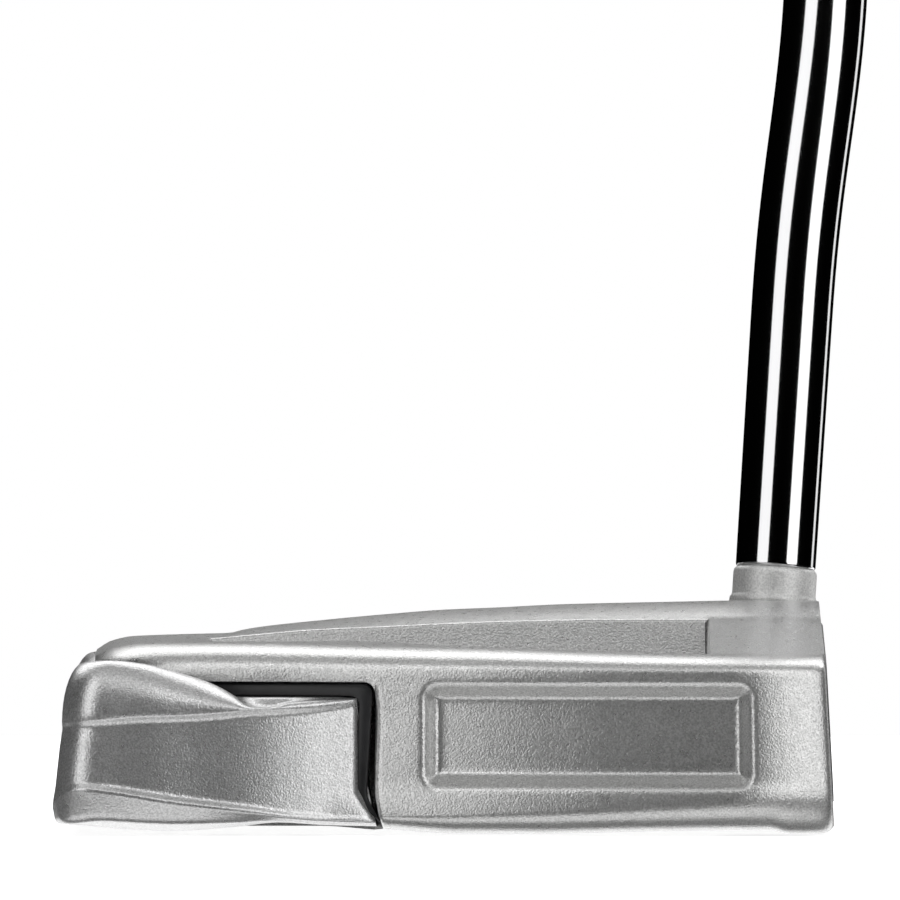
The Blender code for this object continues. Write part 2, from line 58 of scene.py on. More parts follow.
# Heights and half widths along the head, against setback
CROWN = ((0.25, 26.7), (10, 26.8), (21, 26.6), (31.8, 26.35), (38.8, 26.0), (45.8, 25.7), (52.8, 25.15),
         (59.8, 24.5), (66.8, 23.75), (69.2, 23.35), (70.6, 23.0), (76, 22.85), (82, 22.6), (84.5, 22.1),
         (BODY_DEPTH, 21.1))
PLATEAU_EDGE = ((0.25, 24.8), (14, 24.8), (25, 24.8), (38.8, 24.55), (53.8, 23.9), (60.5, 23.6),
                (68.3, 22.95), (74, 22.5), (82, 22.45), (BODY_DEPTH, 20.9))
RAIL_TOP = ((0.25, 21.0), (14.2, 21.1), (24.9, 21.3), (41.4, 21.8), (52.8, 22.0), (71.6, 22.35),
            (80, 22.3), (84, 21.8), (BODY_DEPTH, 20.6))
SOLE = ((0.25, 0.9), (0.9, 0.25), (1.8, 0.03), (3.5, 0.0), (5.6, 0.03), (6.6, 0.25), (7.6, 0.5),
        (10.8, 0.5), (21, 0.35), (30, 0.12), (34, 0.02), (44, 0.02), (48, 0.2), (53.6, 0.55), (60, 1.0),
        (BODY_DEPTH, 1.0))
HALF_WIDTH = ((0.25, 49.1), (2, 50.0), (5, 51.2), (7.3, 51.9), (9, 52.3), (12, 52.65), (18, 52.7),
              (27, 52.3), (34, 51.5), (40, 50.5), (47, 49.0), (53.6, 47.4), (62, 45.2), (70, 43.4),
              (78, 41.0), (83, 37.5), (BODY_DEPTH, 32.0))
SKIRT_HEIGHT = ((0.25, 5.6), (6, 5.2), (13, 4.5), (30, 3.3), (53.6, 2.4), (BODY_DEPTH, 2.4))
RAIL_WIDTH = 8.5
RAIL_FOOT = 18.5
RAIL_ROUND = 0.82
RAIL_UNDERSIDE = 17.8
SKIRT_PROUD = 0.55
SKIRT_ROLL = 4.6

# Side pocket, crown recess, seam and core
POCKET_FRONT = 9.7
POCKET_REAR = 47.9
POCKET_LOW = 5.7
POCKET_HIGH = 17.6
POCKET_WALL = 1.5
POCKET_DEPTH = 2.2
POCKET_CORNER = 1.6
POCKET_LIP = 0.6
RECESS_FRONT = 14.6
RECESS_REAR = 73.0
RECESS_FLOOR = 5.2
RECESS_OUTER = ((14.5, 44.1), (27, 43.8), (34, 43.0), (40, 42.0), (46, 39.6), (50, 35.8), (54, 33.4),
                (60, 33.0), (70, 32.8), (73, 31.0))
PLATEAU_HALF = 15.0
WALL_DRAFT = 8.0
SEAM = 53.6
SEAM_CORNER = 1.2
CORE_HALF = 35.7
BRIDGE_SETBACK = 77.7
BRIDGE_CLEAR = 12.3

# Groove of the aiming line, and the paint in it
SIGHT_HALF = 1.05
PAINT_HALF = 0.9
PAINT_THICK = 0.35
SIGHT_DEPTH = 0.6
SIGHT_FRONT = 19.8
SIGHT_REAR = 60.2

# Face insert, which stands a hair proud of the body's face
FACE_SETBACK = 0.27
INSERT_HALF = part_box("face_insert")[1][1] / MM
INSERT_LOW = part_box("face_insert")[0][2] / MM
INSERT_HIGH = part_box("face_insert")[1][2] / MM
INSERT_SHOULDER = INSERT_HIGH - 4.0
INSERT_CREST_HALF = 9.0
INSERT_CORNER = 5.0
SHOULDER_CORNER = 3.0
INSERT_THICK = 4.2
CAVITY_DEPTH = 5.2
GROOVE_PITCH = 1.7
GROOVE_WIDTH = 0.7
GROOVE_DEPTH = 0.14

# Setbacks of the body's sections at its front edge, the seam and its rear edge, each with how far
# that section is drawn in
FRONT_ROUND = ((FACE_SETBACK, 0.9), (0.3, 0.55), (0.42, 0.25), (0.62, 0.08))
SEAM_ROUND = ((53.3, 0.06), (53.48, 0.2), (53.57, 0.4))
REAR_ROUND = ((BODY_DEPTH - 0.35, 0.12), (BODY_DEPTH - 0.1, 0.4), (BODY_DEPTH, 0.9))


def curve(points, at):
    """Smooth value between an outline's points, with the slope at each read from its neighbours."""
    if at <= points[0][0]:
        return points[0][1]
    if at >= points[-1][0]:
        return points[-1][1]
    i = max(k for k in range(len(points) - 1) if points[k][0] <= at)
    (x0, y0), (x1, y1) = points[i], points[i + 1]
    here = (y1 - y0) / (x1 - x0)
    before = (y0 - points[i - 1][1]) / (x0 - points[i - 1][0]) if i else here
    after = (points[i + 2][1] - y1) / (points[i + 2][0] - x1) if i + 2 < len(points) else here
    slopes = [2 * a * b / (a + b) if a * b > 0 else 0.0 for a, b in ((before, here), (here, after))]
    span = x1 - x0
    t = (at - x0) / span
    return (y0 * (1 + 2 * t) * (1 - t) ** 2 + slopes[0] * span * t * (1 - t) ** 2
            + y1 * t * t * (3 - 2 * t) + slopes[1] * span * t * t * (t - 1))


def ease(share):
    """Share held between 0 and 1, leaving and arriving gently."""
    share = min(max(share, 0.0), 1.0)
    return share * share * (3.0 - 2.0 * share)


def spread(low, high, count, ends=False):
    """Even steps between two values, without the two ends unless they are asked for."""
    if ends:
        return [low + (high - low) * i / (count - 1) for i in range(count)]
    return [low + (high - low) * (i + 1) / (count + 1) for i in range(count)]


def head_point(setback, side, height):
    """Point in the club's frame; near the face it leans back with the loft."""
    lean = FACE_LEAN * max(0.0, 1.0 - setback / FACE_LEAN_DEPTH)
    return Vector((LEAD_EDGE_X - setback - lean * height, side, height))


def rounded(corners, arc_steps=6):
    """Open outline through corners of (across, up, radius), each turned into an arc of equal steps.

    An arc starts between 12% and 46% of the way along the shorter of the two sides that meet there.
    """
    points = [Vector(corners[0][:2])]
    for before, here, after in zip(corners, corners[1:], corners[2:]):
        a, b, c = (Vector(corner[:2]) for corner in (before, here, after))
        to_a, to_c = (a - b).normalized(), (c - b).normalized()
        half = max(to_a.angle(to_c) / 2, 0.05)
        leg = min((a - b).length, (c - b).length)
        reach = min(max(here[2] / math.tan(half), 0.12 * leg), 0.46 * leg)
        start, end = b + to_a * reach, b + to_c * reach
        points.append(points[-1].lerp(start, 0.5))
        points.append(start.lerp(b, -0.04))
        for i in range(arc_steps + 1):
            t = i / arc_steps
            points.append(start * (1 - t) ** 2 + b * 2 * t * (1 - t) + end * t * t)
    points.append(points[-1].lerp(Vector(corners[-1][:2]), 0.5))
    points.append(Vector(corners[-1][:2]))
    return points


def mesh_object(name, points, faces):
    """Smooth-shaded object from points in millimetres, its faces turned outward."""
    mesh = bpy.data.meshes.new(name)
    mesh.from_pydata([tuple(p * MM) for p in points], [], faces)
    solid = bmesh.new()
    solid.from_mesh(mesh)
    bmesh.ops.recalc_face_normals(solid, faces=solid.faces)
    solid.to_mesh(mesh)
    solid.free()
    mesh.shade_smooth()
    made = bpy.data.objects.new(name, mesh)
    bpy.context.collection.objects.link(made)
    return made


def skin(name, rings, closed=False):
    """Closed mesh through equal rings, with a fan at each end unless it closes on itself."""
    count = len(rings[0])
    points = [point for ring in rings for point in ring]
    faces = []
    pairs = list(zip(range(len(rings)), range(1, len(rings))))
    if closed:
        pairs.append((len(rings) - 1, 0))
    for first, second in pairs:
        for i in range(count):
            j = (i + 1) % count
            faces.append((first * count + i, first * count + j, second * count + j, second * count + i))
    if not closed:
        for ring, start in ((rings[0], 0), (rings[-1], (len(rings) - 1) * count)):
            points.append(sum(ring, Vector()) / count)
            middle = len(points) - 1
            for i in range(count):
                j = (i + 1) % count
                faces.append((middle, start + i, start + j))
    return mesh_object(name, points, faces)


# ---------------------------------------------------------------- head body

def pocket_depth(setback, height):
    """How far the side pocket sinks at a place: sloping walls with eased lip and foot."""
    half_long = (POCKET_REAR - POCKET_FRONT) / 2
    half_high = (POCKET_HIGH - POCKET_LOW) / 2
    out_long = abs(setback - (POCKET_FRONT + POCKET_REAR) / 2) - half_long + POCKET_CORNER
    out_high = abs(height - (POCKET_LOW + POCKET_HIGH) / 2) - half_high + POCKET_CORNER
    outside = math.hypot(max(out_long, 0.0), max(out_high, 0.0)) + min(max(out_long, out_high), 0.0)
    inside = POCKET_CORNER - outside
    share = inside / POCKET_WALL
    soft = POCKET_LIP / POCKET_WALL
    if share <= -soft:
        return 0.0
    if share < soft:
        return POCKET_DEPTH * (share + soft) ** 2 / (4 * soft)
    if share < 1 - soft:
        return POCKET_DEPTH * share
    if share < 1 + soft:
        return POCKET_DEPTH * (1 - (1 + soft - share) ** 2 / (4 * soft))
    return POCKET_DEPTH


def lip_rows(edge, inward):
    """Rows packed where a pocket wall starts and ends."""
    steps = (-0.9, -0.45, -0.25, -0.1, 0.05, 0.2, 0.4, 0.75, 1.1, 1.3, 1.45, 1.6, 1.8, 2.3)
    return sorted(edge + inward * step for step in steps)


SIDE_ROWS = (lip_rows(POCKET_LOW, 1) + spread(POCKET_LOW + 2.3, POCKET_HIGH - 2.3, 7)
             + lip_rows(POCKET_HIGH - 0.05, -1))
SOLE_COLUMNS = spread(0.0, 1.0, 11, ends=True)
SKIRT_STEPS = 12
RAIL_STEPS = 14
FLOOR_STEPS = 6


def seam_shift(setback, height):
    """Slant of the seam: its foot sweeps forward near the sole."""
    near = ease(1 - abs(setback - SEAM) / 7.0)
    return -near * (1.0 * ease((4.2 - height) / 4.0) + 0.25 * ease((height - 6.0) / 8.0)
                    * ease((17.0 - height) / 3.0))


def outer_side(setback, inset, tuck):
    """Sole edge, skirt and side of the body from the middle of the sole to the foot of the rail."""
    wide = curve(HALF_WIDTH, setback) - inset
    sole = curve(SOLE, setback)
    skirt = curve(SKIRT_HEIGHT, setback)
    proud = SKIRT_PROUD * ease((setback - 2) / 12)
    edge = wide + proud - SKIRT_ROLL
    points = [(edge * share, sole + SKIRT_PROUD * max(0.0, share - 0.35) ** 2) for share in SOLE_COLUMNS]
    foot = points[-1][1]
    for step in range(1, SKIRT_STEPS + 1):
        angle = math.radians(90 * step / SKIRT_STEPS)
        points.append((edge + SKIRT_ROLL * math.sin(angle), skirt - (skirt - foot) * math.cos(angle)))
    for height in SIDE_ROWS:
        if height < skirt + 0.3:
            height = skirt + 0.3 * (height - SIDE_ROWS[0] + 0.3) / (skirt + 0.6 - SIDE_ROWS[0])
        lean = proud * (1 - ease((height - skirt) / (POCKET_LOW + 1.0 - skirt)))
        points.append((wide + lean - pocket_depth(setback, height), height))
    if tuck:
        points = [(y - tuck * ease((y - 30.0) / 8.0) * ease((RAIL_UNDERSIDE - z) / SEAM_CORNER), z)
                  for y, z in points]
    return points


def inner_side(setback):
    """The same run behind the seam: the core's wall, then the flat underside of the rail."""
    under = RAIL_UNDERSIDE
    if setback < SEAM + SEAM_CORNER:
        gone = 1 - (setback - SEAM) / SEAM_CORNER
        under -= SEAM_CORNER * (1 - math.sqrt(max(0.0, 1 - gone * gone)))
    sole = BRIDGE_CLEAR if setback > BRIDGE_SETBACK else curve(SOLE, setback)
    wide = curve(HALF_WIDTH, setback)
    core = min(CORE_HALF, wide - 3.0)
    points = [(core * share, sole) for share in SOLE_COLUMNS]
    points += [(core, sole + (under - sole) * step / SKIRT_STEPS) for step in range(1, SKIRT_STEPS + 1)]
    edge = [(wide - 0.4, under), (wide - 0.2, under + 0.02), (wide - 0.06, under + 0.08),
            (wide, RAIL_FOOT)]
    flat = len(SIDE_ROWS) - len(edge)
    reach = wide - 0.6 - core
    points += [(core + reach * (i + 1) / flat, under) for i in range(flat)]
    return points + edge


def crown_run(setback):
    """From the rail's inner edge across the recess and up onto the plateau to its middle."""
    rail = curve(RAIL_TOP, setback)
    edge = curve(PLATEAU_EDGE, setback)
    crown = curve(CROWN, setback)
    wide = curve(HALF_WIDTH, setback)
    outer = min(curve(RECESS_OUTER, setback), wide - RAIL_WIDTH)
    shut = min(setback - RECESS_FRONT, RECESS_REAR - setback)
    sink = ease(shut / 0.5)

    def top(side):
        share = (wide - RAIL_WIDTH - side) / max(wide - RAIL_WIDTH - PLATEAU_HALF, 1.0)
        return rail + (edge - rail) * max(share, 0.0)

    def sunk(side, height_over_floor):
        surface = top(side)
        return (side, surface + (min(RECESS_FLOOR + height_over_floor, surface) - surface) * sink)

    points = []
    for inward, down in ((-0.5, 0.0), (-0.22, 0.03), (-0.05, 0.14), (0.06, 0.35)):
        points.append((outer - inward, top(outer - inward) - down * sink))
    foot = PLATEAU_HALF + WALL_DRAFT
    points += [sunk(outer - inward, up) for inward, up in
               ((0.15, 9.0), (0.3, 2.0), (0.45, 0.8), (0.9, 0.2))]
    points += [sunk(side, 0.0) for side in spread(outer - 1.4, foot + 1.0, FLOOR_STEPS)]
    points += [sunk(foot + outward, up) for outward, up in ((0.6, 0.1), (0.2, 0.5), (-0.2, 1.2))]
    points.append(sunk(foot * 0.5 + PLATEAU_HALF * 0.5, 10.0))
    for inward, down in ((-0.02, 0.4), (0.08, 0.16), (0.25, 0.04), (0.5, 0.0)):
        points.append((PLATEAU_HALF - inward, edge - down * sink))
    groove = SIGHT_DEPTH * ease((setback - SIGHT_FRONT) / 0.2) * ease((SIGHT_REAR - setback) / 0.2)
    sides = spread(PLATEAU_HALF - 0.5, SIGHT_HALF, 7) + [SIGHT_HALF + 0.05, SIGHT_HALF, 0.6, 0.0]
    for side in sides:
        share = 1 - side / (PLATEAU_HALF - 0.5)
        height = edge + (crown - edge) * math.sin(share * math.pi / 2) ** 0.9
        points.append((side, height - (groove if side <= SIGHT_HALF else 0.0)))
    return points


def body_ring(setback, inset=0.0, tuck=0.0):
    """Section of the body. An inset draws it all in at an edge; a tuck draws in what meets the seam."""
    cut = setback > SEAM
    side = inner_side(setback) if cut else outer_side(setback, inset, tuck)
    wide = curve(HALF_WIDTH, setback) - inset
    rail = curve(RAIL_TOP, setback) - inset * 0.6
    half = list(side)
    for step in range(RAIL_STEPS):
        angle = math.radians(90 * step / RAIL_STEPS)
        half.append((wide - RAIL_WIDTH * (1 - math.cos(angle) ** RAIL_ROUND),
                     RAIL_FOOT + (rail - RAIL_FOOT) * math.sin(angle) ** RAIL_ROUND))
    half += crown_run(setback)
    whole = half + [(-y, z) for y, z in reversed(half[1:-1])]
    return [head_point(setback + (0 if cut else seam_shift(setback, z)), y, z) for y, z in whole]


def body_stations():
    """Setbacks of the body's sections, packed where its shape turns."""
    lips = lip_rows(POCKET_FRONT, 1) + lip_rows(POCKET_REAR, -1)
    sight = [end + step for end in (SIGHT_FRONT, SIGHT_REAR - 0.2) for step in (0.0, 0.1, 0.2)]
    recess = [RECESS_FRONT + step for step in (-0.3, 0.0, 0.06, 0.13, 0.22, 0.36, 0.5, 0.7)]
    recess += [RECESS_REAR - step for step in (-0.4, 0.0, 0.06, 0.14, 0.25, 0.38, 0.5, 0.8)]
    front = [0.9, 1.3, 1.8, 2.6, 3.5, 4.6, 5.6, 6.1, 6.6, 7.1, 7.6]
    middle = spread(16, 45, 40, ends=True) + [50.5, 51.3, 52.1, 52.6, 53.0]
    rear = spread(55.5, 72, 20, ends=True) + [74, 75, 76, 76.8, 77.5] + spread(78, 85.4, 12, ends=True)
    arc = [SEAM + SEAM_CORNER * share for share in (0.12, 0.3, 0.5, 0.75, 1.0)]
    setbacks = sorted(lips + recess + front + middle + rear + arc + sight)
    kept = [setbacks[0]]
    for setback in setbacks[1:]:
        if setback - kept[-1] > 0.05:
            kept.append(setback)
    return kept


def insert_outline(grow, steps=8):
    """Outline of the face insert, moved outward by a distance; its top falls away with the crown."""
    half = INSERT_HALF + grow
    low = INSERT_LOW - grow
    shoulder = INSERT_SHOULDER + grow
    right = []
    for step in range(steps + 1):
        turn = math.radians(90.0 * step / steps)
        right.append((half - INSERT_CORNER * (1 - math.sin(turn)),
                      low + INSERT_CORNER * (1 - math.cos(turn))))
    for step in range(steps + 1):
        turn = math.radians(80.0 * step / steps)
        right.append((half - SHOULDER_CORNER * (1 - math.cos(turn)),
                      shoulder - SHOULDER_CORNER * (1 - math.sin(turn))))
    right.append((INSERT_CREST_HALF, INSERT_HIGH + grow))
    return right + [(-side, height) for side, height in reversed(right)]


def reach_outline(outline, middle, toward):
    """Point where a ray from the middle, past another point, crosses the outline around it."""
    away = Vector(toward) - Vector(middle)
    for start, end in zip(outline, outline[1:] + outline[:1]):
        side = Vector(end) - Vector(start)
        offset = Vector(start) - Vector(middle)
        spin = away.x * side.y - away.y * side.x
        if abs(spin) < 1e-9:
            continue
        along = (offset.x * side.y - offset.y * side.x) / spin
        share = (offset.x * away.y - offset.y * away.x) / spin
        if along > 0 and -1e-6 <= share <= 1 + 1e-6:
            return Vector(middle) + away * along
    return Vector(middle)


def face_point(depth, side, height):
    """Point at a depth behind the plane of the face."""
    return Vector((LEAD_EDGE_X - depth - FACE_LEAN * height, side, height))


def face_cavity(front):
    """Rings of the insert's seat, from its floor out to the face, matched to the front ring's points."""
    middle = (0.0, (INSERT_LOW + INSERT_HIGH) / 2)
    rings = []
    for depth, grow in ((CAVITY_DEPTH, 0.1), (FACE_SETBACK + 0.25, 0.12), (FACE_SETBACK + 0.08, 0.17),
                        (FACE_SETBACK, 0.3)):
        outline = insert_outline(grow)
        crossings = [reach_outline(outline, middle, (point.y, point.z)) for point in front]
        rings.append([face_point(depth, crossing.x, crossing.y) for crossing in crossings])
    return rings


def make_body():
    """Whole body: seat of the insert, front block, the step in at the seam, and the core and rails."""
    stations = body_stations()
    rings = face_cavity(body_ring(*FRONT_ROUND[0]))
    rings += [body_ring(setback, inset) for setback, inset in FRONT_ROUND]
    rings += [body_ring(setback) for setback in stations if setback < SEAM]
    rings += [body_ring(setback, tuck=tuck) for setback, tuck in SEAM_ROUND]
    rings.append(body_ring(SEAM + 0.02))
    rings += [body_ring(setback) for setback in stations if setback > SEAM + 0.05]
    rings += [body_ring(setback, inset) for setback, inset in REAR_ROUND]
    return skin("head_shell", rings)


# ---------------------------------------------------------------- rear frame

WING_FRONT = SEAM + 2.1
WING_ROUND = ((WING_FRONT, 0.5), (WING_FRONT + 0.08, 0.22), (WING_FRONT + 0.25, 0.06))
CORNER_RADIUS = 4.8
CORNER_START = HEAD_DEPTH - CORNER_RADIUS
CORNER_LENGTH = CORNER_RADIUS * math.pi / 2
BRIDGE_START = CORNER_START + CORNER_LENGTH
BRIDGE_END = BRIDGE_START + 47.2
INNER_FLAT = 36.3
INNER_REAR = 78.0
FOOT_SWEEP = 2.3
BULGE_STEPS = 10

WING_WIDTH = ((55, 47.0), (58, 48.3), (62, 50.0), (66, 51.35), (70, 52.3), (75, 53.05), (80, 53.75),
              (CORNER_START, 54.15))
WING_SOLE = ((55, 0.95), (60, 1.2), (64.8, 1.5), (70, 1.0), (79, 0.6), (86, 0.8), (95, 1.3),
             (BRIDGE_END, 1.4))
RIDGE_LOW = ((55, 1.55), (63.6, 2.2), (68, 2.85), (77, 4.0), (84.6, 5.2), (88, 5.5), (91, 4.6),
             (94, 3.3), (BRIDGE_END, 2.9))
RIDGE_HIGH = ((55, 15.9), (57.1, 15.55), (61.6, 15.0), (68, 14.7), (74.8, 14.2), (81.4, 14.0),
              (86.8, 13.55), (94, 13.2), (103, 11.0), (114, 8.8), (BRIDGE_END, 8.5))
RIDGE_IN = ((55, 0.3), (68, 0.35), (80, 0.5), (88, 1.0), (92, 1.55), (98, 1.6), (BRIDGE_END, 1.2))
SCOOP = ((55, 0.2), (60, 0.4), (66, 0.65), (74, 0.9), (82, 0.9), (86, 0.75), (90, 0.3), (95, 0.04),
         (BRIDGE_END, 0.0))
CREST = ((55, 16.05), (63, 15.6), (66.5, 14.95), (68, 15.15), (70.2, 16.5), (73.6, 17.85), (78.1, 19.05),
         (82.8, 20.05), (87, 20.4), (92, 20.2), (97, 19.8), (102, 18.6), (110, 14.0), (116, 12.2),
         (BRIDGE_END, 11.9))
DECK = ((55, 16.1), (90, 16.1), (96, 15.5), (106, 12.6), (112, 11.9), (BRIDGE_END, 11.9))


def wing_section(q):
    """Outer and inner plan points at a place along the frame, as setback and side."""
    if q <= CORNER_START:
        inner = q if q < 70 else 70 + (q - 70) * (INNER_REAR - 1 - 70) / (CORNER_START - 70)
        return Vector((q, curve(WING_WIDTH, q))), Vector((inner, INNER_FLAT))
    if q <= BRIDGE_START:
        turn = (q - CORNER_START) / CORNER_RADIUS
        away = Vector((math.sin(turn), math.cos(turn)))
        middle = Vector((HEAD_DEPTH - CORNER_RADIUS, WING_WIDTH[-1][1] - CORNER_RADIUS))
        return middle + away * CORNER_RADIUS, Vector((INNER_REAR - 1, INNER_FLAT - 1)) + away
    left = (BRIDGE_END - q) / (BRIDGE_END - BRIDGE_START)
    return (Vector((HEAD_DEPTH, left * (WING_WIDTH[-1][1] - CORNER_RADIUS))),
            Vector((INNER_REAR, left * (INNER_FLAT - 1))))


def wing_ring(q, inset=0.0):
    """Section of the frame: sole, lower ridge, scoop, upper ridge, bulge over it and the flat deck."""
    outer, inner = wing_section(q)
    inward = (inner - outer).normalized()
    thick = (inner - outer).length
    sole, low, high = curve(WING_SOLE, q), curve(RIDGE_LOW, q), curve(RIDGE_HIGH, q)
    crest, deck = curve(CREST, q), curve(DECK, q)
    ridge, scoop = curve(RIDGE_IN, q), curve(SCOOP, q)
    lip = min(0.8, 0.3 * (high - low))
    high = min(high, crest - 0.1)
    swell = ease((q - 64.0) / 9.0)
    rear = ease((q - 86.0) / 5.0)
    top_in = min(1.4 + 4.2 * swell, thick * 0.4)
    foot = (1.6 - 1.1 * rear, sole + (0.25 - 0.15 * rear) * (low - sole), 2.0 - 0.8 * rear)
    lower = [(thick, sole, 0), (7.5, sole, 3.0), foot, (0, low, 0.45), (scoop, low + lip, 1.0)]
    lower += [(scoop + ridge * share, low + (high - low) * share, 1.0) for share in (0.25, 0.45, 0.7)]
    lower += [(ridge + scoop, high - lip, 1.0), (ridge, high, 0)]
    points = rounded(lower)
    for step in range(1, BULGE_STEPS + 1):
        angle = math.radians(90 * step / BULGE_STEPS)
        points.append(Vector((ridge + (top_in - ridge) * (1 - math.cos(angle)),
                              high + (crest - high) * math.sin(angle))))
    points += rounded([(top_in + 0.2, crest, 0), (top_in + 1.0 + 2.4 * swell, deck, 1.2),
                       (thick, deck, 0)])
    ring = []
    fade = ease((WING_FRONT + 4.0 - q) / 4.0)
    for across, up in points:
        plan = outer + inward * (across + inset * (1 if across < thick - 0.5 else 0))
        plan.x -= FOOT_SWEEP * fade * ease((5.4 - up) / 4.4)
        ring.append(Vector((LEAD_EDGE_X - plan.x, -plan.y, up)))
    return ring


def make_rear_frame():
    """The frame from one wing's front round the rear bridge to the other's, the halves mirrored."""
    stations = spread(WING_FRONT + 0.5, 66, 20, ends=True) + spread(66, CORNER_START, 36, ends=True)[1:]
    stations += spread(CORNER_START, BRIDGE_START + 20, 44, ends=True)[1:]
    stations += spread(BRIDGE_START + 20, BRIDGE_END, 8, ends=True)[1:]
    half = [wing_ring(q, inset) for q, inset in WING_ROUND] + [wing_ring(q) for q in stations]
    other = [[Vector((p.x, -p.y, p.z)) for p in ring] for ring in reversed(half[:-1])]
    return skin("rear_frame_shell", half + other)


# ---------------------------------------------------------------- shaft line

COLLAR_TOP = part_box("shaft")[0][2] / MM
HOSEL_SETBACK = 6.6
HOSEL_SIDE = 16.0
HOSEL_HEIGHT = 30.5
COLLAR_RADIUS = 4.92
POST_RADIUS = 2.9
POST_LENGTH = 26.0
LIE_ANGLE = 70.0
TIP_FORWARD = 3.7
TIP_HEEL = 4.0
BEND_FORWARD = 4.2
BEND_LOW = 58.0
BEND_MIDDLE = 81.0
BEND_HIGH = 112.0
BUTT_HEIGHT = 864.0 * math.sin(math.radians(LIE_ANGLE))
TIP_RADIUS = 4.7
BUTT_RADIUS = 7.37
SHAFT_WALL = 0.9
SHAFT_SIDES = 96
FINE_STEPS = 72
LINE_STEP = 0.5
GRIP_LENGTH = 266.0
CAP_THICK = 3.0


def shaft_direction(height):
    """Way the shaft runs at a height: two bends forward and back, and one over towards the heel."""
    rise = ease((height - BEND_LOW) / (BEND_MIDDLE - BEND_LOW))
    fall = ease((height - BEND_MIDDLE) / (BEND_HIGH - BEND_MIDDLE))
    over = ease((height - BEND_LOW) / (BEND_HIGH - BEND_LOW))
    forward = math.radians(TIP_FORWARD + BEND_FORWARD * rise - (TIP_FORWARD + BEND_FORWARD) * fall)
    heel = math.radians(TIP_HEEL + (90.0 - LIE_ANGLE - TIP_HEEL) * over)
    return Vector((math.tan(forward), math.tan(heel), 1.0)).normalized()


def shaft_line():
    """Centre points of the shaft at even steps of height, up to where it runs straight."""
    centre = Vector((LEAD_EDGE_X - HOSEL_SETBACK, HOSEL_SIDE, HOSEL_HEIGHT))
    line = [centre.copy()]
    while centre.z < BEND_HIGH:
        direction = shaft_direction(centre.z + LINE_STEP / 2)
        centre = centre + direction * (LINE_STEP / direction.z)
        line.append(centre.copy())
    return line


SHAFT_LINE = shaft_line()


def shaft_centre(height):
    """Point on the shaft's centre line at a height."""
    if height >= SHAFT_LINE[-1].z:
        direction = shaft_direction(BEND_HIGH)
        return SHAFT_LINE[-1] + direction * ((height - SHAFT_LINE[-1].z) / direction.z)
    along = (height - SHAFT_LINE[0].z) / LINE_STEP
    index = min(max(int(along), 0), len(SHAFT_LINE) - 2)
    return SHAFT_LINE[index].lerp(SHAFT_LINE[index + 1], along - index)


def shaft_radius(height):
    """Outer radius of the shaft at a height, on its even taper."""
    share = (height - HOSEL_HEIGHT) / (BUTT_HEIGHT - HOSEL_HEIGHT)
    return TIP_RADIUS + (BUTT_RADIUS - TIP_RADIUS) * min(max(share, 0.0), 1.0)


def around_shaft(height, outline):
    """Ring of points about the shaft's centre, square to it, from an outline of (side, rear)."""
    direction = shaft_direction(height)
    across = Vector((0, 1, 0)).cross(direction).normalized()
    away = direction.cross(across).normalized()
    centre = shaft_centre(height)
    return [centre + across * side + away * rear for side, rear in outline]


def circle(radius, count):
    return [(radius * math.cos(math.tau * i / count), radius * math.sin(math.tau * i / count))
            for i in range(count)]


def make_shaft():
    """Hollow shaft from the collar up, tapering from tip to butt, open at both ends."""
    low = COLLAR_TOP
    top = BUTT_HEIGHT - CAP_THICK

    def ring(height, radius):
        return around_shaft(height, circle(radius, SHAFT_SIDES))

    tip = ((0.05, 0.25), (0.15, 0.08), (0.35, 0.0))
    rings = [ring(low + up, TIP_RADIUS - inset) for up, inset in tip]
    heights = spread(low + 0.6, BEND_HIGH + 4, 90, ends=True) + [140, 200, 300, 420, 560, 700]
    rings += [ring(height, shaft_radius(height)) for height in heights]
    rings += [ring(top - 0.3, BUTT_RADIUS), ring(top, BUTT_RADIUS - 0.77)]
    inside = [top - 4, 400, 140] + spread(BEND_HIGH, BEND_LOW, 12, ends=True) + [low + 0.3, low + 0.05]
    rings += [ring(height, shaft_radius(height) - SHAFT_WALL) for height in inside]
    return skin("shaft_tube", rings, closed=True)


def make_collar():
    """Hosel collar that the shaft butts on, its foot flared into the crown, and the post above it."""
    turn = Vector((0, 0, 1)).rotation_difference(shaft_direction(HOSEL_HEIGHT)).to_matrix()
    middle = shaft_centre(HOSEL_HEIGHT)
    profile = [(COLLAR_RADIUS + out, up) for out, up in
               ((0.3, -4.6), (0.25, -3.7), (0.08, -3.5), (0, -3.25), (0, -2.4), (0, -1.1), (0, -0.75),
                (-0.08, -0.42), (-0.28, -0.17), (-0.6, -0.02), (-0.95, 0.0), (-1.42, 0.0))]
    profile += [(POST_RADIUS + 0.05, 0.02), (POST_RADIUS, 0.2), (POST_RADIUS, POST_LENGTH - 0.4),
                (POST_RADIUS - 0.4, POST_LENGTH)]
    rings = [[middle + turn @ Vector((x, y, up)) for x, y in circle(radius, FINE_STEPS)]
             for radius, up in profile]
    return skin("hosel_collar", rings)


def sleeve(name, low, high, inner, outer):
    """Thin sleeve along the straight of the shaft, between two clearances over the shaft's surface."""
    edge = 0.06
    rings = []
    for height, clearance in ((low, inner), (low, outer - edge), (low + edge, outer),
                              (high - edge, outer), (high, outer - edge), (high, inner)):
        rings.append(around_shaft(height, circle(shaft_radius(height) + clearance, FINE_STEPS)))
    return skin(name, rings, closed=True)


# ---------------------------------------------------------------- grip

GRIP_FOOT = BUTT_HEIGHT - GRIP_LENGTH
CLEARANCE = 0.3
TAPE_THICK = 0.35


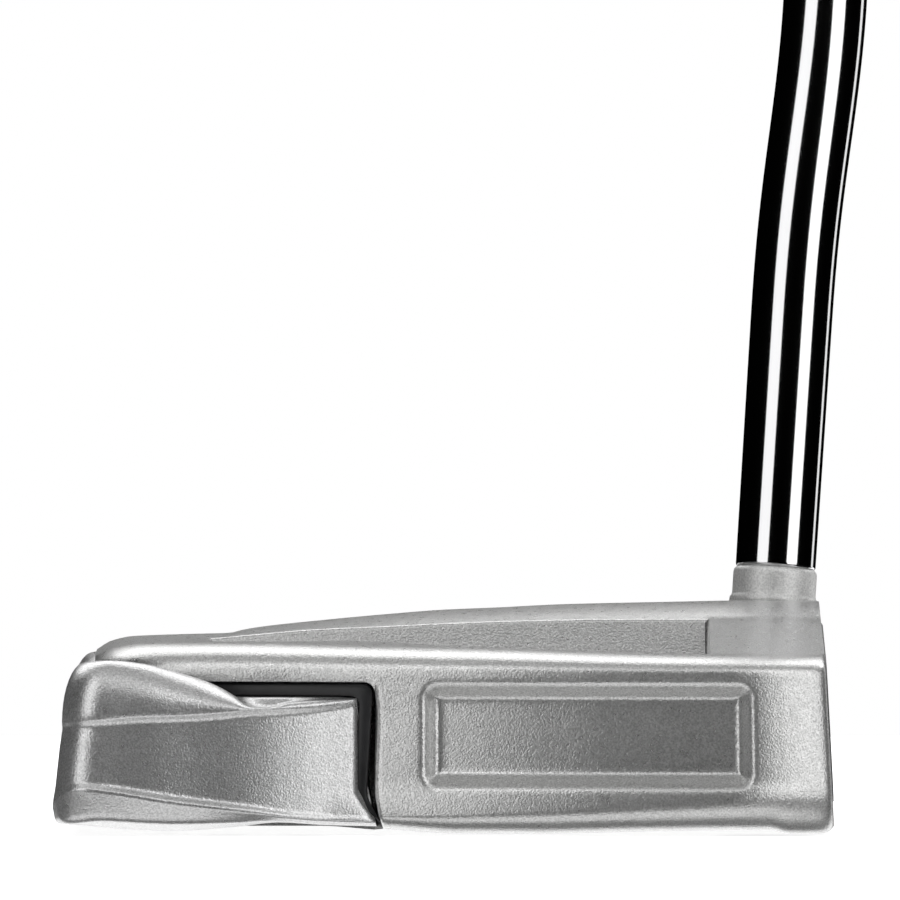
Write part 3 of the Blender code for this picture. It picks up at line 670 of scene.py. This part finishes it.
def grip_outline(height, shrink=1.0):
    """Pistol section: a flat on one side, and a rounded palm side that swells near the top."""
    share = (height - GRIP_FOOT) / GRIP_LENGTH
    half = 10.35 + 3.4 * share
    palm = 10.15 + 2.6 * share + 3.6 * ease((share - 0.45) / 0.35)
    flat = 9.75 + 1.4 * share
    outline = []
    for side, rear in circle(1.0, FINE_STEPS):
        if rear < 0:
            depth = flat * (1 - (1 - min(-rear / 0.86, 1.0)) ** 1.6)
            outline.append((half * side * shrink, -min(depth, palm * -rear * 1.25) * shrink))
        else:
            outline.append((half * side * shrink, palm * rear * shrink))
    return outline


def make_grip():
    """Rubber grip with a rolled foot, a thick rim at its top and shallow rings round its lower part."""
    top = BUTT_HEIGHT - CAP_THICK - CLEARANCE
    stations = [(GRIP_FOOT + up, shrink) for up, shrink in
                ((0, 0.80), (0.25, 0.86), (0.9, 0.915), (2.2, 0.955), (5.0, 0.985), (9.0, 1.0))]
    for ring in range(5):
        start = GRIP_FOOT + 14.0 + 5.0 * ring
        stations += [(start + up, shrink) for up, shrink in
                     ((0, 1.0), (0.25, 0.985), (0.6, 0.975), (0.95, 0.985), (1.2, 1.0))]
    stations += [(height, 1.0) for height in spread(GRIP_FOOT + 42.0, top - 6.0, 34, ends=True)]
    rim = ((3.4, 1.0), (3.1, 0.985), (2.8, 0.985), (2.5, 1.0), (0.5, 1.0), (0.15, 0.99), (0, 0.97))
    stations += [(top - down, shrink) for down, shrink in rim]
    rings = [around_shaft(height, grip_outline(height, shrink)) for height, shrink in stations]
    gap = CLEARANCE + TAPE_THICK + CLEARANCE
    for height in (top, GRIP_FOOT):
        rings.append(around_shaft(height, circle(shaft_radius(height) + gap, FINE_STEPS)))
    return skin("rubber_grip", rings, closed=True)


def make_end_cap():
    """Cap that closes the grip, domed a little, with a vent hole in its middle."""
    low = BUTT_HEIGHT - CAP_THICK
    dome = ((0, 0.96), (0.15, 0.985), (0.5, 0.995), (1.4, 0.985), (2.2, 0.95), (2.65, 0.90), (2.9, 0.84),
            (2.98, 0.6), (2.98, 0.3))
    vent = ((2.97, 1.5), (2.8, 1.3), (1.0, 1.2))
    rings = [around_shaft(low + up, grip_outline(low, shrink)) for up, shrink in dome]
    rings += [around_shaft(low + up, circle(radius, FINE_STEPS)) for up, radius in vent]
    return skin("grip_cap", rings)


# ---------------------------------------------------------------- insert, gaskets and fasteners

def insert_half(height):
    """Half width of the insert at a height, read off its outline."""
    right = [point for point in insert_outline(0.0) if point[0] > 0]
    for (side, low), (next_side, high) in zip(right, right[1:]):
        if low <= height <= high and high > low:
            return side + (next_side - side) * (height - low) / (high - low)
    return right[0][0] if height < right[0][1] else right[-1][0]


def make_insert():
    """Soft face insert with fine level grooves across it."""
    edge = 0.18
    slope = 0.1
    border = 2.4
    grooves = []
    height = INSERT_LOW + 2.2
    while height < INSERT_SHOULDER - 1.0:
        half = GROOVE_WIDTH / 2
        grooves += [(height - half, 0.0), (height - half + slope, GROOVE_DEPTH),
                    (height + half - slope, GROOVE_DEPTH), (height + half, 0.0)]
        height += GROOVE_PITCH
    rows = [(INSERT_LOW, edge), (INSERT_LOW + 0.06, edge * 0.4), (INSERT_LOW + edge, 0.0),
            (INSERT_LOW + 0.8, 0.0), (INSERT_LOW + 1.4, 0.0)]
    rows += grooves
    rows += [(height, 0.0) for height in spread(INSERT_SHOULDER - 0.6, INSERT_HIGH - edge, 8, ends=True)]
    rows += [(INSERT_HIGH - 0.06, edge * 0.4), (INSERT_HIGH, edge)]
    rings = []
    for height, depth in rows:
        half = insert_half(height)
        plain = 0.0 if depth == GROOVE_DEPTH else depth
        left = [(-half, INSERT_THICK), (-half, max(edge, depth)),
                (-half + 0.06, max(edge * 0.35, plain)), (-half + edge, plain), (-half + border, plain),
                (-half + border + 0.2, depth), (-half + border + 0.6, depth)]
        right = [(-side, back) for side, back in reversed(left)]
        rings.append([face_point(back, side, height) for side, back in left + right])
    return skin("grooved_insert", rings)


def make_sight_line():
    """Painted aiming line in the groove along the middle of the crown."""
    edge = 0.04
    left = [(-PAINT_HALF, PAINT_THICK), (-PAINT_HALF, edge), (edge - PAINT_HALF, 0.0)]
    section = left + [(-side, down) for side, down in reversed(left)]
    rings = []
    for setback in spread(SIGHT_FRONT + 0.4, SIGHT_REAR - 0.4, 20, ends=True):
        top = curve(CROWN, setback) - 0.15
        rings.append([head_point(setback, side, top - down) for side, down in section])
    return skin("crown_line", rings)


GASKET_FRONT_EDGE = ((53.0, 1.7, 0), (54.5, 4.6, 2.5), (53.75, 17.7, 1.3), (76.0, 17.7, 0))
GASKET_REAR_EDGE = ((53.15, 1.65, 0), (55.8, 4.4, 2.5), (55.4, 16.2, 0.5), (76.0, 16.2, 0))
GASKET_SHY = 0.7

# Sole weights and frame screws
FASTENER_STEPS = 48
HEAD_THICK = 2.6
HEAD_CLEAR = 0.15
WEIGHT_RADIUS = 5.6
WEIGHT_SHANK = 4.0
WEIGHT_TOP = 9.0
WEIGHT_SOCKET = 2.0
SCREW_RADIUS = 2.4
SCREW_SHANK = 1.4
SCREW_TOP = 13.9
SCREW_SOCKET = 1.1


def make_gasket(name, sign):
    """Damping strip up the seam and back under the rail, its foot drawn out to a point at the sole."""
    rings = []
    for front, rear in zip(rounded(GASKET_FRONT_EDGE, 8), rounded(GASKET_REAR_EDGE, 8)):
        outer = curve(HALF_WIDTH, (front.x + rear.x) / 2) - GASKET_SHY
        edge = min(0.3, 0.25 * (front - rear).length)
        into = (rear - front).normalized() * edge
        inner = CORE_HALF + 0.4
        section = [(front, inner), (front, outer - edge), (front + into * 0.3, outer - edge * 0.3),
                   (front + into, outer), (rear - into, outer), (rear - into * 0.3, outer - edge * 0.3),
                   (rear, outer - edge), (rear, inner)]
        rings.append([Vector((LEAD_EDGE_X - spot.x, sign * side, spot.y)) for spot, side in section])
    return skin(name, rings)


def hexagon(radius):
    """Six-sided outline with as many points as a fastener's circle."""
    sixth = math.tau / 6
    points = []
    for i in range(FASTENER_STEPS):
        turn = math.tau * i / FASTENER_STEPS
        reach = radius * math.cos(sixth / 2) / math.cos((turn + sixth / 2) % sixth - sixth / 2)
        points.append((reach * math.cos(turn), reach * math.sin(turn)))
    return points


def socketed(name, spot, profile, socket, depth):
    """Fastener turned about an upright axis, its face down, with a six-sided socket in the face."""
    face = profile[-1][1]
    outlines = [(circle(radius, FASTENER_STEPS), up) for radius, up in profile]
    outlines += [(hexagon(socket + 0.12), face), (hexagon(socket), face + 0.1),
                 (hexagon(socket), face + depth)]
    return skin(name, [[spot + Vector((x, y, up)) for x, y in outline] for outline, up in outlines])


def fastener_profile(shank, shank_top, head, edge):
    """Outline from the end of the shank down round the head to the edge of its face."""
    return [(shank - 0.35, shank_top), (shank, shank_top - 0.35), (shank, HEAD_THICK + 0.1),
            (shank + 0.1, HEAD_THICK), (head - 0.12, HEAD_THICK), (head, HEAD_THICK - 0.12),
            (head, edge), (head - edge * 0.3, edge * 0.3), (head - edge, 0.0)]


def bore(piece, centres, radius, low, high):
    """Cut upright bores into a piece."""
    outline = circle(radius, FASTENER_STEPS)
    for x, y in centres:
        ends = [[Vector((x + dx, y + dy, z)) for dx, dy in outline] for z in (low, high)]
        cutter = skin("bore_cutter", ends)
        cut = piece.modifiers.new("bore", "BOOLEAN")
        cut.operation = "DIFFERENCE"
        cut.solver = "MANIFOLD"
        cut.object = cutter
        bpy.context.view_layer.objects.active = piece
        bpy.ops.object.modifier_apply(modifier=cut.name)
        bpy.data.objects.remove(cutter, do_unlink=True)
    piece.data.set_sharp_from_angle(angle=math.radians(55))


# ---------------------------------------------------------------- materials

SPECK = 0.22


def nodes_of(name):
    """New material, with its nodes, its links and its shader."""
    material = bpy.data.materials.new(name)
    material.use_nodes = True
    tree = material.node_tree
    return material, tree.nodes, tree.links, tree.nodes["Principled BSDF"]


def grain(nodes, links, size, detail=2.0):
    """Noise whose cells measure a size in millimetres on the object."""
    coordinates = nodes.new("ShaderNodeTexCoord")
    noise = nodes.new("ShaderNodeTexNoise")
    noise.inputs["Scale"].default_value = 1 / (size * MM)
    noise.inputs["Detail"].default_value = detail
    links.new(coordinates.outputs["Object"], noise.inputs["Vector"])
    return noise.outputs["Fac"]


def spread_value(nodes, links, value, low, high, start=0.3, end=0.7):
    """Map a noise value from its usual range onto a range of its own."""
    ranged = nodes.new("ShaderNodeMapRange")
    for socket, number in (("From Min", start), ("From Max", end), ("To Min", low), ("To Max", high)):
        ranged.inputs[socket].default_value = number
    links.new(value, ranged.inputs["Value"])
    return ranged.outputs["Result"]


def tint(nodes, links, value, dark, light):
    """Colour between a dark and a light one, mixed by a value."""
    mix = nodes.new("ShaderNodeMix")
    mix.data_type = "RGBA"
    mix.inputs["A"].default_value = (*dark, 1)
    mix.inputs["B"].default_value = (*light, 1)
    links.new(value, mix.inputs["Factor"])
    return mix.outputs["Result"]


def bump(nodes, links, value, depth, strength, under=None):
    """Relief of a depth in millimetres, over another relief if there is one."""
    relief = nodes.new("ShaderNodeBump")
    relief.inputs["Distance"].default_value = depth * MM
    relief.inputs["Strength"].default_value = strength
    links.new(value, relief.inputs["Height"])
    if under:
        links.new(under, relief.inputs["Normal"])
    return relief.outputs["Normal"]


def surface(name, dark, light, rough, metallic, grain_size, relief, strength=0.5, patch=6.0):
    """Finish with a fine grain in relief, and colour and roughness that drift slowly over it."""
    material, nodes, links, shader = nodes_of(name)
    shader.inputs["Metallic"].default_value = metallic
    fine = grain(nodes, links, grain_size)
    slow = grain(nodes, links, patch, 3.0)
    links.new(tint(nodes, links, spread_value(nodes, links, slow, 0.0, 1.0), dark, light),
              shader.inputs["Base Color"])
    links.new(spread_value(nodes, links, slow, *rough), shader.inputs["Roughness"])
    links.new(bump(nodes, links, fine, relief, strength), shader.inputs["Normal"])
    return material


def blasted(name, dark, light, rough, metallic=0.83):
    """Bead-blasted metal: bright and dull specks the size of the bead marks, in relief and in colour."""
    material, nodes, links, shader = nodes_of(name)
    shader.inputs["Metallic"].default_value = metallic
    speck = grain(nodes, links, SPECK, 1.0)
    broad = grain(nodes, links, 3.5 * SPECK, 2.0)
    links.new(tint(nodes, links, spread_value(nodes, links, speck, 0.0, 1.0), dark, light),
              shader.inputs["Base Color"])
    links.new(spread_value(nodes, links, broad, *rough), shader.inputs["Roughness"])
    under = bump(nodes, links, broad, 0.06, 0.2)
    links.new(bump(nodes, links, speck, 0.05, 0.8, under), shader.inputs["Normal"])
    return material


def grip_rubber():
    """Soft black rubber with a fine weave of shallow diamonds pressed into it."""
    material, nodes, links, shader = nodes_of("grip_rubber_textured")
    coordinates = nodes.new("ShaderNodeTexCoord")
    reliefs = []
    for direction in (45.0, -45.0):
        mapping = nodes.new("ShaderNodeMapping")
        mapping.inputs["Rotation"].default_value = (math.radians(direction), 0.0, 0.0)
        wave = nodes.new("ShaderNodeTexWave")
        wave.bands_direction = "Z"
        wave.inputs["Scale"].default_value = 220.0
        links.new(coordinates.outputs["Object"], mapping.inputs["Vector"])
        links.new(mapping.outputs["Vector"], wave.inputs["Vector"])
        reliefs.append(wave.outputs["Fac"])
    under = bump(nodes, links, reliefs[0], 0.12, 0.5)
    under = bump(nodes, links, reliefs[1], 0.12, 0.5, under)
    fine = grain(nodes, links, 0.4)
    links.new(bump(nodes, links, fine, 0.04, 0.4, under), shader.inputs["Normal"])
    links.new(tint(nodes, links, spread_value(nodes, links, grain(nodes, links, 25.0), 0, 1),
                   (0.016, 0.016, 0.017), (0.026, 0.026, 0.027)), shader.inputs["Base Color"])
    links.new(spread_value(nodes, links, fine, 0.62, 0.78), shader.inputs["Roughness"])
    return material


SILVER = blasted("satin_silver_blasted", (0.42, 0.42, 0.416), (0.66, 0.66, 0.654), (0.27, 0.33))
COLLAR = blasted("satin_collar_blasted", (0.54, 0.54, 0.535), (0.78, 0.78, 0.77), (0.44, 0.52), 0.5)
STEEL = blasted("satin_steel_blasted", (0.42, 0.42, 0.42), (0.66, 0.66, 0.66), (0.27, 0.33))
BLACK_SHAFT = surface("gloss_black_plating", (0.64, 0.64, 0.645), (0.68, 0.68, 0.685), (0.07, 0.10),
                      metallic=1.0, grain_size=1.5, relief=0.002, strength=0.1, patch=30.0)
GASKET = surface("gasket_urethane", (0.008, 0.008, 0.009), (0.014, 0.014, 0.015), (0.36, 0.46),
                 metallic=0.0, grain_size=0.5, relief=0.02)
INSERT = surface("insert_elastomer", (0.012, 0.012, 0.013), (0.02, 0.02, 0.022), (0.42, 0.52),
                 metallic=0.0, grain_size=0.35, relief=0.015)
SCREW = surface("fastener_steel", (0.30, 0.30, 0.31), (0.40, 0.40, 0.41), (0.24, 0.34),
                metallic=1.0, grain_size=0.5, relief=0.006)
NYLON = surface("seal_nylon", (0.03, 0.03, 0.03), (0.05, 0.05, 0.05), (0.42, 0.5),
                metallic=0.0, grain_size=0.6, relief=0.01)
ADHESIVE = surface("adhesive_film", (0.62, 0.58, 0.45), (0.74, 0.70, 0.58), (0.55, 0.7),
                   metallic=0.0, grain_size=0.8, relief=0.03)
PAINT = surface("sight_paint", (0.01, 0.01, 0.01), (0.018, 0.018, 0.018), (0.30, 0.38),
                metallic=0.0, grain_size=0.5, relief=0.008)
FILM = surface("band_foil", (0.30, 0.30, 0.31), (0.38, 0.38, 0.39), (0.24, 0.3),
               metallic=1.0, grain_size=3.0, relief=0.002, strength=0.2)
RUBBER = grip_rubber()


# ---------------------------------------------------------------- assembly

def fit(piece, body, material, slot, *nodes):
    """Give a piece its material and put it on its body, for the nodes that it stands for."""
    piece.data.materials.clear()
    piece.data.materials.append(material)
    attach(piece, body)
    if nodes:
        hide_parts(*nodes)


def face_centre(node):
    """Middle of an upright fastener's lowest face, from its node's box."""
    low, high = (Vector(corner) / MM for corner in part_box(node))
    return Vector(((low.x + high.x) / 2, (low.y + high.y) / 2, low.z))


weights = {tag: face_centre("sole_weight_" + tag) for tag in ("toe", "heel")}
screws = {number: face_centre("frame_screw_%d" % number) for number in (1, 2, 3, 4)}

body = make_body()
weight_spots = [spot.xy for spot in weights.values()]
weight_face = weights["toe"].z
bore(body, weight_spots, WEIGHT_RADIUS + HEAD_CLEAR, -2.0, weight_face + 3.8)
bore(body, weight_spots, WEIGHT_SHANK + HEAD_CLEAR, 2.0, weight_face + WEIGHT_TOP + 0.3)
fit(body, "club", SILVER, "satin_silver", "head_body")
fit(make_collar(), "club", COLLAR, "satin_silver")
rear = make_rear_frame()
bore(rear, [spot.xy for spot in screws.values()], SCREW_RADIUS + 0.2, -2.0, screws[1].z + 2.8)
fit(rear, "club", STEEL, "satin_steel", "rear_weight_frame")
fit(make_shaft(), "club", BLACK_SHAFT, "gloss_black_shaft", "shaft")
fit(make_insert(), "club", INSERT, "face_elastomer", "face_insert")
weight_profile = fastener_profile(WEIGHT_SHANK, WEIGHT_TOP, WEIGHT_RADIUS, 0.4)
for tag, sign in (("toe", -1), ("heel", 1)):
    gasket = make_gasket("gasket_" + tag, sign)
    fit(gasket, "club", GASKET, "black_polyurethane", "damping_gasket_" + tag)
    weight = socketed("weight_screw_" + tag, weights[tag], weight_profile, WEIGHT_SOCKET, 2.2)
    fit(weight, tag + "_weight", SCREW, "screw_steel", "sole_weight_" + tag)
screw_profile = fastener_profile(SCREW_SHANK, SCREW_TOP, SCREW_RADIUS, 0.3)
for number, spot in screws.items():
    screw = socketed("rear_screw_%d" % number, spot, screw_profile, SCREW_SOCKET, 1.4)
    fit(screw, "club", SCREW, "screw_steel", "frame_screw_%d" % number)

band_low, band_high = (corner[2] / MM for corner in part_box("shaft_band"))
band = sleeve("shaft_foil_band", band_low + 2.5, band_high - 2.5, CLEARANCE, CLEARANCE + 0.38)
fit(band, "club", FILM, "band_film", "shaft_band")
fit(make_grip(), "club", RUBBER, "grip_rubber", "grip")
fit(make_end_cap(), "club", RUBBER, "grip_rubber", "grip_end_cap")
fit(make_sight_line(), "club", PAINT, "sight_line_paint", "sight_line")
for node, material in (("insert_tape", ADHESIVE), ("shaft_epoxy", ADHESIVE), ("grip_tape", ADHESIVE),
                       ("weight_seal_toe", NYLON), ("weight_seal_heel", NYLON)):
    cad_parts[node].material_slots[0].material = material


# ---------------------------------------------------------------- camera and studio

FRAME_WIDTH = 104.2
DISTANCE = 4500.0
NEAR_SIDE = 52.0
AIM_SETBACK = 44.87
AIM_HEIGHT = 44.42
centre = Vector((LEAD_EDGE_X - AIM_SETBACK, 0.0, AIM_HEIGHT)) * MM
elevation = math.radians(0.4)
camera_data = bpy.data.cameras.new("camera")
camera = bpy.data.objects.new("camera", camera_data)
bpy.context.collection.objects.link(camera)
bpy.context.scene.camera = camera
camera.location = centre + Vector((0, -math.cos(elevation), math.sin(elevation))) * DISTANCE * MM
camera.rotation_euler = (centre - camera.location).to_track_quat("-Z", "Y").to_euler()
camera_data.sensor_width = 36.0
camera_data.lens = camera_data.sensor_width * (DISTANCE - NEAR_SIDE) / FRAME_WIDTH
camera_data.clip_end = 500.0


def softbox(name, azimuth, elevation, distance, size, radiance):
    """Rectangular light aimed at the head; azimuth 0 is at the camera and 90 on the face's side."""
    a, e = math.radians(azimuth), math.radians(elevation)
    away = Vector((math.sin(a) * math.cos(e), -math.cos(a) * math.cos(e), math.sin(e)))
    light = bpy.data.lights.new(name, "AREA")
    light.shape = "RECTANGLE"
    light.size, light.size_y = size
    light.energy = radiance * math.pi * size[0] * size[1]
    made = bpy.data.objects.new(name, light)
    made.location = Vector((0, 0, 0.02)) + away * distance
    made.rotation_euler = (-away).to_track_quat("-Z", "Y").to_euler()
    made.visible_camera = False
    bpy.context.collection.objects.link(made)


softbox("left_softbox", -40, 20, 1.6, (0.95, 2.2), 1.45)
softbox("right_softbox", 48, 20, 1.6, (0.95, 2.2), 1.75)
softbox("rim_softbox", 129, 20, 1.6, (0.36, 2.2), 1.2)
softbox("front_softbox", 0, 58, 1.6, (1.8, 0.75), 0.95)
softbox("top_softbox", 0, 88, 1.5, (2.4, 0.9), 0.5)
softbox("low_softbox", 0, -64, 1.3, (2.4, 1.0), 1.0)
softbox("table_glow", 180, -30, 1.3, (2.4, 0.8), 1.6)
softbox("back_softbox", 180, 48, 1.6, (2.6, 1.1), 2.4)

bpy.ops.mesh.primitive_plane_add(size=1.0, location=(0, 0, 0))
floor = bpy.context.object
floor.name = "floor"
floor.scale = (3.0, 1.5, 1.0)
floor_paint = surface("pale_floor", (0.80, 0.80, 0.80), (0.82, 0.82, 0.82), (0.8, 0.9),
                      metallic=0.0, grain_size=3.0, relief=0.01, strength=0.1)
glow = floor_paint.node_tree.nodes["Principled BSDF"]
glow.inputs["Emission Color"].default_value = (1, 1, 1, 1)
glow.inputs["Emission Strength"].default_value = 0.75
floor.data.materials.append(floor_paint)
floor.visible_glossy = False
floor.visible_shadow = False

ROOM_DARK = 0.008
ROOM_BELOW = 0.52
world = bpy.data.worlds.new("studio")
bpy.context.scene.world = world
world.use_nodes = True
nodes, links = world.node_tree.nodes, world.node_tree.links
seen = nodes.new("ShaderNodeLightPath")
white = nodes.new("ShaderNodeBackground")
white.inputs["Color"].default_value = (1, 1, 1, 1)
room = nodes["Background"]
direction = nodes.new("ShaderNodeTexCoord")
split = nodes.new("ShaderNodeSeparateXYZ")
links.new(direction.outputs["Generated"], split.inputs["Vector"])
links.new(spread_value(nodes, links, split.outputs["Z"], ROOM_DARK, ROOM_BELOW, -0.2, -0.75),
          room.inputs["Strength"])
mix = nodes.new("ShaderNodeMixShader")
links.new(seen.outputs["Is Camera Ray"], mix.inputs[0])
links.new(room.outputs[0], mix.inputs[1])
links.new(white.outputs[0], mix.inputs[2])
links.new(mix.outputs[0], nodes["World Output"].inputs[0])
bpy.context.scene.view_settings.view_transform = "Standard"
